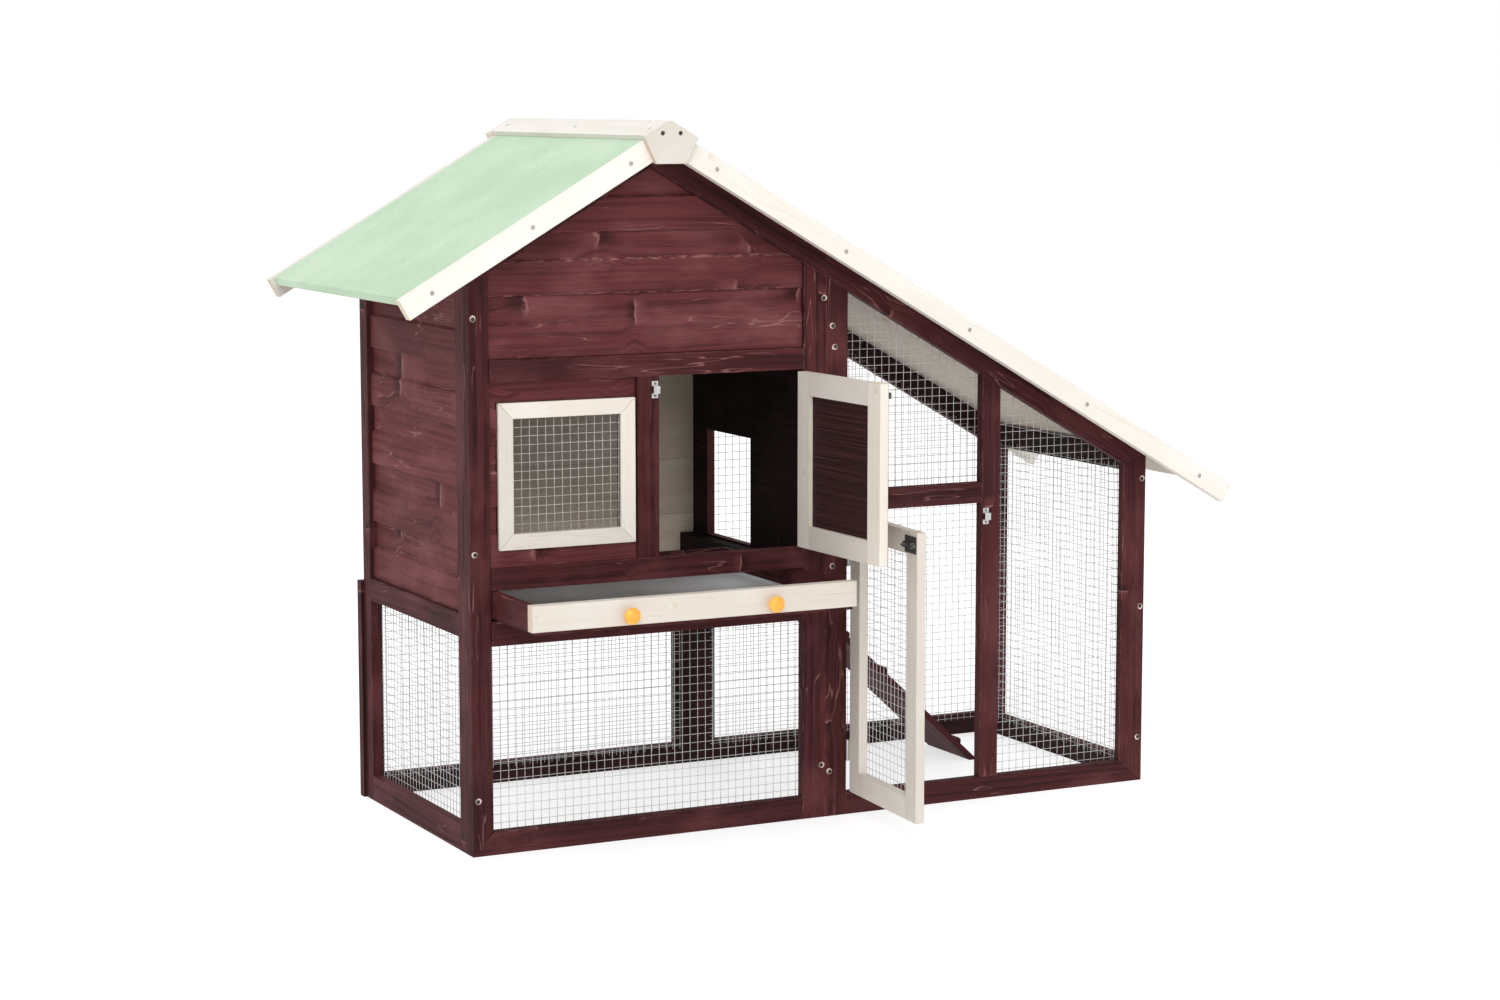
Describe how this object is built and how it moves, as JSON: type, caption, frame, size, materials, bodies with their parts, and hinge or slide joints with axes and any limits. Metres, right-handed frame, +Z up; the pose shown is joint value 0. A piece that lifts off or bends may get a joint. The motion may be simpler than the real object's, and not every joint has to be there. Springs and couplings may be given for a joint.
{
  "type": "rabbit hutch",
  "caption": "Wooden rabbit hutch with a gabled house over a pull-out litter drawer, a ramp, and a mesh run beside it; hinged doors with sliding bolts.",
  "frame": {"origin": "on the ground, at the front face, where the house half meets the run half", "axes": "+X along the front from the house to the run, +Y from the front to the back, +Z up"},
  "size_m": [1.396, 0.7734, 1.0541],
  "materials": {
    "stained_wood": "red-brown stain, matte",
    "white_wood": "white paint, matte",
    "bare_wood": "bare softwood and plywood",
    "roof_felt": "green mineral roofing felt, matte",
    "mesh": "galvanised welded wire",
    "galvanised": "galvanised sheet",
    "dark_zinc": "dark zinc",
    "knob_orange": "orange lacquer, glossy"
  },
  "bodies": {
    "hutch": {"back_barge_boards": "white_wood", "bolt_keepers": "galvanised", "drawer_guides": "bare_wood", "frame_hinge_leaves": "galvanised", "frame_screws": "dark_zinc", "front_barge_boards": "white_wood", "gable_boards": "stained_wood", "house_back_boards": "stained_wood", "house_back_frame": "stained_wood", "house_back_mesh": "mesh", "house_bottom_rail": "stained_wood", "house_cross_rails": "stained_wood", "house_front_mesh": "mesh", "house_left_stile": "stained_wood", "house_rafters": "stained_wood", "house_right_stile": "stained_wood", "house_tray_rail": "stained_wood", "house_window_post": "stained_wood", "left_side_boards": "stained_wood", "left_side_frame": "stained_wood", "left_side_mesh": "mesh", "partition_boards": "stained_wood", "ramp_board": "stained_wood", "ramp_cleats": "stained_wood", "ridge_boards": "white_wood", "ridge_caps": "white_wood", "roof_felt": "roof_felt", "roof_left_deck": "bare_wood", "roof_right_deck": "bare_wood", "roof_screws": "dark_zinc", "run_back_frame": "stained_wood", "run_back_mesh": "mesh", "run_bottom_rail": "stained_wood", "run_door_head_rail": "stained_wood", "run_door_post": "stained_wood", "run_end_frame": "stained_wood", "run_end_mesh": "mesh", "run_front_mesh": "mesh", "run_left_stile": "stained_wood", "run_right_stile": "stained_wood", "run_top_rail": "stained_wood", "window_backing": "stained_wood", "window_boards": "stained_wood", "window_frame": "white_wood", "window_mesh": "mesh"},
    "drawer": {"drawer_front": "white_wood", "drawer_sides": "stained_wood", "drawer_base": "stained_wood", "drawer_tray": "galvanised", "drawer_knobs": "knob_orange"},
    "house_door": {"house_door_frame": "white_wood", "house_door_panel": "stained_wood", "house_door_hinge_leaves": "galvanised", "house_door_bolt_case": "dark_zinc"},
    "house_bolt": {"house_door_bolt": "dark_zinc"},
    "run_door": {"run_door_frame": "white_wood", "run_door_mesh": "mesh", "run_door_hinge_leaves": "galvanised", "run_door_bolt_case": "dark_zinc"},
    "run_bolt": {"run_door_bolt": "dark_zinc"}
  },
  "joints": [
    {"name": "drawer_slide", "type": "slide", "parent": "hutch", "child": "drawer", "axis": [0, -1, 0], "range_m": [-0.1415, 0.142]},
    {"name": "house_door_hinge", "type": "hinge", "parent": "hutch", "child": "house_door", "pos_m": [-0.0355, -0.003, 0], "axis": [0, 0, 1], "range_deg": [-92, 3]},
    {"name": "run_door_hinge", "type": "hinge", "parent": "hutch", "child": "run_door", "pos_m": [0.037, -0.003, 0], "axis": [0, 0, -1], "range_deg": [-94.5, 3.5]},
    {"name": "house_bolt_slide", "type": "slide", "parent": "house_door", "child": "house_bolt", "axis": [0.0349, -0.9994, 0], "range_m": [0, 0.015]},
    {"name": "run_bolt_slide", "type": "slide", "parent": "run_door", "child": "run_bolt", "axis": [-0.0785, -0.9969, 0], "range_m": [0, 0.015]}
  ]
}
